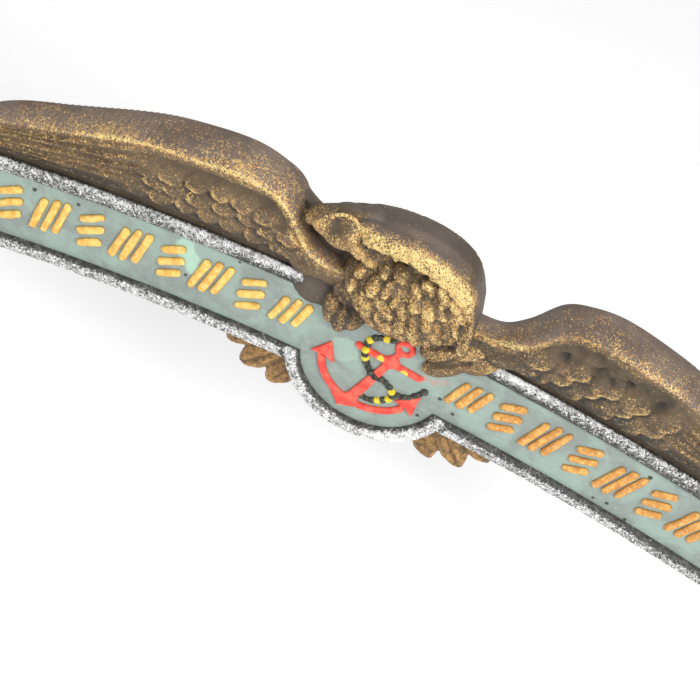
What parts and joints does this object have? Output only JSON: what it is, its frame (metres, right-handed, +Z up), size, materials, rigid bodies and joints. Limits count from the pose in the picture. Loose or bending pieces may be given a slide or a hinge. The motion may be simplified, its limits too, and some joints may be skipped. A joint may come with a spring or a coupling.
{
  "type": "wall plaque",
  "caption": "Flat-backed cast-iron wall plaque: an eagle with spread wings stands over an arched, rimmed name board with a round anchor medallion at its middle.",
  "frame": {"origin": "on the flat back, behind the centre of the round medallion", "axes": "+X to the viewer's right along the board, +Z up the wall, the relief faces -Y and the back lies on y = 0 against the wall"},
  "size_m": [0.376, 0.027, 0.1149],
  "materials": {
    "painted_iron": "brush-painted sand casting: bronze-brown with gold dry-brushing, grey-teal board"
  },
  "bodies": {
    "root": {"plaque": "painted_iron"}
  },
  "joints": []
}
